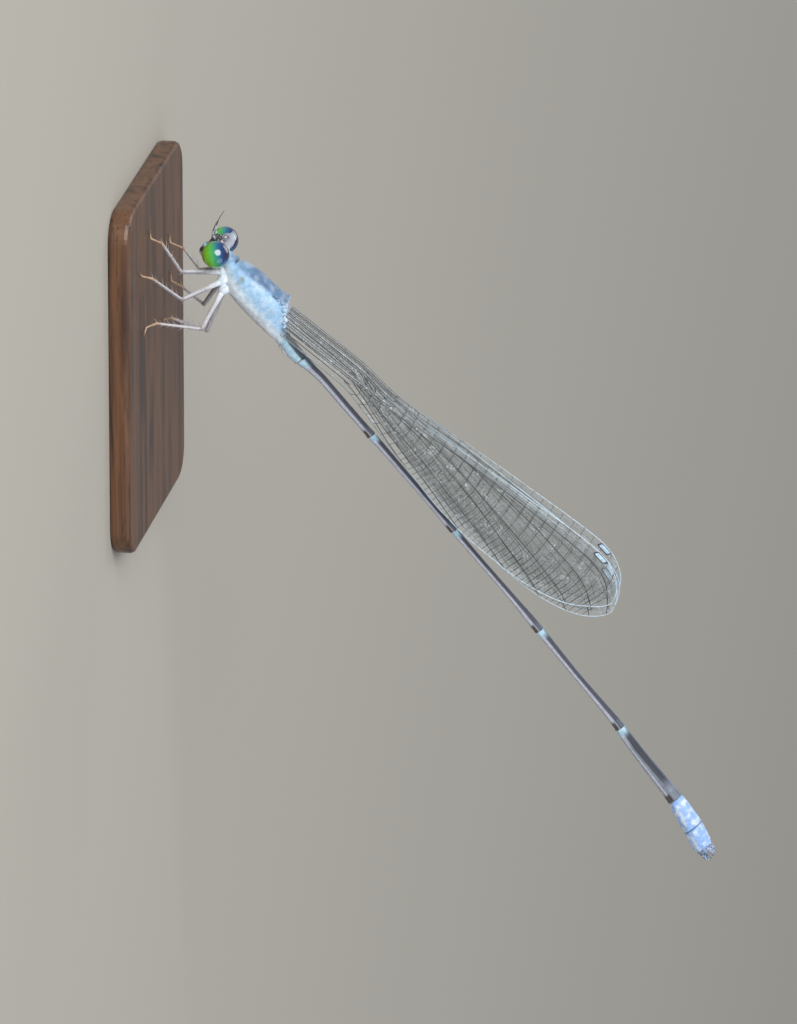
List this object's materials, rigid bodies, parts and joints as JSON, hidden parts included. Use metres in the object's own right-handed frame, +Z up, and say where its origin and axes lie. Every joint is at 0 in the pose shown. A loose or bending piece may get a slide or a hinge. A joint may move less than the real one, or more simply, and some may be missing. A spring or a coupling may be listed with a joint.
{
  "type": "damselfly",
  "caption": "Life-size damselfly at rest, wings folded over the back, long slender abdomen raised, standing on a thin display base.",
  "frame": {"origin": "middle of the display base's underside", "axes": "+Z up from the base, +X along the base from the head to the tail, +Y to the animal's right"},
  "size_m": [0.0396, 0.016, 0.0337],
  "materials": {
    "stand_wood": "dark walnut, satin, with fine grain",
    "eye": "glossy compound eye, green below and deep blue above",
    "feeler": "dark, thin, pale at the root",
    "head": "pale grey bloom behind, black face",
    "thorax": "powdery pale blue bloom, nearly white below",
    "abdomen": "dark stripe above, lavender grey sides",
    "tail": "powder blue, mottled",
    "wing": "clear smoky membrane with dark veins",
    "leg": "whitish grey with dark line and bristles",
    "foot": "tan, with small claws"
  },
  "bodies": {
    "root": {"abdomen_s1": "thorax", "abdomen_s10": "tail", "abdomen_s2": "thorax", "abdomen_s3": "abdomen", "abdomen_s4": "abdomen", "abdomen_s5": "abdomen", "abdomen_s6": "abdomen", "abdomen_s7": "abdomen", "abdomen_s8": "tail", "abdomen_s9": "tail", "antenna_left": "feeler", "antenna_right": "feeler", "eye_left": "eye", "eye_right": "eye", "femur_fore_left": "leg", "femur_fore_right": "leg", "femur_hind_left": "leg", "femur_hind_right": "leg", "femur_mid_left": "leg", "femur_mid_right": "leg", "head": "head", "prothorax": "thorax", "stand_base": "stand_wood", "tarsus_fore_left": "foot", "tarsus_fore_right": "foot", "tarsus_hind_left": "foot", "tarsus_hind_right": "foot", "tarsus_mid_left": "foot", "tarsus_mid_right": "foot", "thorax": "thorax", "tibia_fore_left": "leg", "tibia_fore_right": "leg", "tibia_hind_left": "leg", "tibia_hind_right": "leg", "tibia_mid_left": "leg", "tibia_mid_right": "leg", "wing_fore_left": "wing", "wing_fore_right": "wing", "wing_hind_left": "wing", "wing_hind_right": "wing"}
  },
  "joints": []
}
